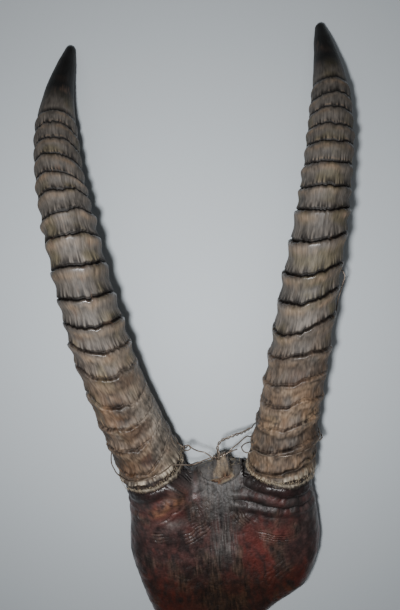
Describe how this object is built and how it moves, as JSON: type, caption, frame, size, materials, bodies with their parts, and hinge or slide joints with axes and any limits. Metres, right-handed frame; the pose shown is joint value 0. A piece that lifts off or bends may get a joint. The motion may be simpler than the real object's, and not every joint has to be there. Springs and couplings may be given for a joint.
{
  "type": "pair of ringed antelope horns on a skull plate",
  "caption": "Ringed, gently curved antelope horns on their sawn skull plate with dried forehead skin, tied with thin wire, lying on its flat back.",
  "frame": {"origin": "the middle of the skull plate's flat sawn back", "axes": "+X from the left horn to the right horn as seen from the front, +Y from the skull to the horn tips, +Z out of the forehead"},
  "size_m": [0.3158, 0.6461, 0.1036],
  "materials": {
    "horn": "ringed keratin, grey-brown, half dull, darker and smoother towards the tips",
    "bone": "dry sawn bone, dull",
    "dried_skin": "dried hide, dark red-brown, half glossy, wrinkled",
    "wire": "thin dark iron wire"
  },
  "bodies": {
    "root": {"horn_left": "horn", "horn_right": "horn", "skull_plate": "bone", "forehead_skin": "dried_skin", "tie_wire_left": "wire", "tie_wire_right": "wire", "hanging_wire": "wire"}
  },
  "joints": []
}
